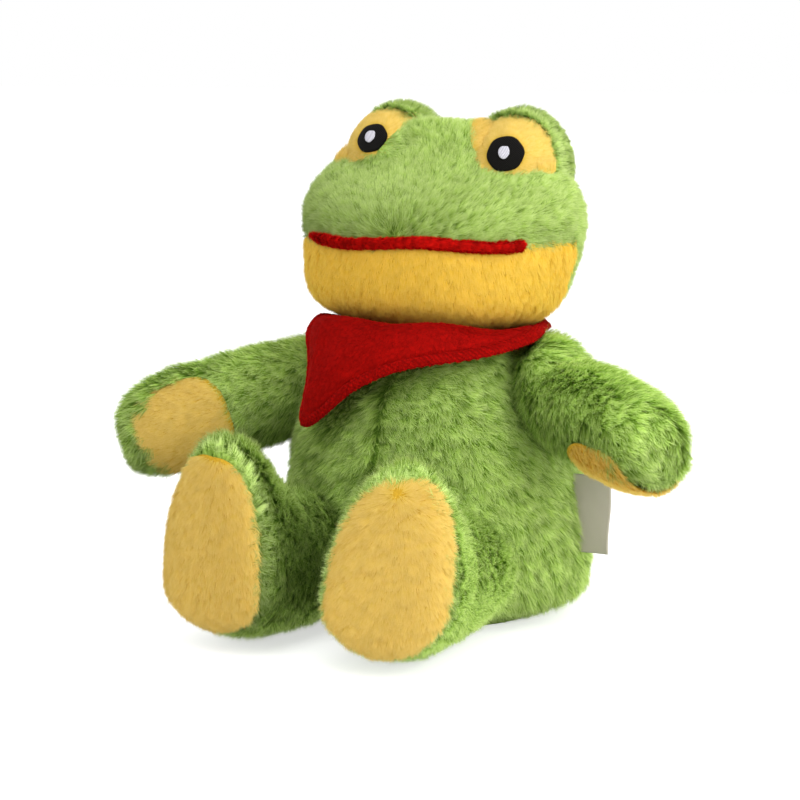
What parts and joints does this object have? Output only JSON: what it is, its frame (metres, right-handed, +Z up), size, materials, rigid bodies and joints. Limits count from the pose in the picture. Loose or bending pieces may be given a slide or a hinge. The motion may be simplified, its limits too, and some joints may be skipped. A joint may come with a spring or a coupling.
{
  "type": "plush frog",
  "caption": "Seated stuffed frog toy in pile fabric with padded eyes, rolled lip, turning head, swinging limbs and a triangular neckerchief.",
  "frame": {"origin": "middle of the flat seat panel's underside, on the surface the toy sits on", "axes": "+Z up, the frog looks along -Y, its left side is +X"},
  "size_m": [0.3198, 0.2302, 0.2701],
  "materials": {
    "green_pile": "long brushed pile",
    "yellow_pile": "short brushed pile",
    "red_cloth": "short napped cloth, matt",
    "red_felt": "rolled felt, matt",
    "black_thread": "satin stitch",
    "white_thread": "satin stitch",
    "satin_ribbon": "woven satin",
    "pellet_cotton": "woven cotton, matt"
  },
  "bodies": {
    "torso": {"torso": "green_pile", "seat_panel": "green_pile", "pellet_bag": "pellet_cotton"},
    "head": {"head": "green_pile", "jaw": "yellow_pile", "mouth_lip": "red_felt", "eye_pad_left": "yellow_pile", "eye_pad_right": "yellow_pile", "eyelid_left": "green_pile", "eyelid_right": "green_pile", "pupil_left": "black_thread", "pupil_right": "black_thread", "highlight_left": "white_thread", "highlight_right": "white_thread"},
    "arm_left": {"arm_left": "green_pile", "palm_left": "yellow_pile"},
    "arm_right": {"arm_right": "green_pile", "palm_right": "yellow_pile"},
    "leg_left": {"leg_left": "green_pile", "sole_left": "yellow_pile"},
    "leg_right": {"leg_right": "green_pile", "sole_right": "yellow_pile"},
    "neckerchief": {"neckerchief": "red_cloth", "neckerchief_knot": "red_cloth"},
    "label": {"side_label": "satin_ribbon"}
  },
  "joints": [
    {"name": "head_turn", "type": "hinge", "parent": "torso", "child": "head", "pos_m": [0, 0.004, 0.146], "axis": [0.0349, 0, 0.9994], "range_deg": [-25, 25], "stiffness_Nm_per_rad": 0.5},
    {"name": "arm_left_swing", "type": "hinge", "parent": "torso", "child": "arm_left", "pos_m": [0.05, 0.002, 0.1295], "axis": [0, 0, -1], "range_deg": [-30, 12], "stiffness_Nm_per_rad": 0.3},
    {"name": "arm_right_swing", "type": "hinge", "parent": "torso", "child": "arm_right", "pos_m": [-0.05, 0.002, 0.1295], "axis": [0, 0, 1], "range_deg": [-30, 12], "stiffness_Nm_per_rad": 0.3},
    {"name": "leg_left_splay", "type": "hinge", "parent": "torso", "child": "leg_left", "pos_m": [0.036, -0.024, 0.0375], "axis": [0, 0, 1], "range_deg": [-5, 10], "stiffness_Nm_per_rad": 0.6},
    {"name": "leg_right_splay", "type": "hinge", "parent": "torso", "child": "leg_right", "pos_m": [-0.036, -0.024, 0.0375], "axis": [0, 0, -1], "range_deg": [-5, 10], "stiffness_Nm_per_rad": 0.6},
    {"name": "neckerchief_turn", "type": "hinge", "parent": "torso", "child": "neckerchief", "pos_m": [0, 0, 0.15], "axis": [0, 0, 1], "range_deg": [-6, 6]},
    {"name": "label_flap", "type": "hinge", "parent": "torso", "child": "label", "pos_m": [0.0823, 0, 0.0585], "axis": [0, 0, 1], "range_deg": [-50, 50], "stiffness_Nm_per_rad": 0.002}
  ]
}
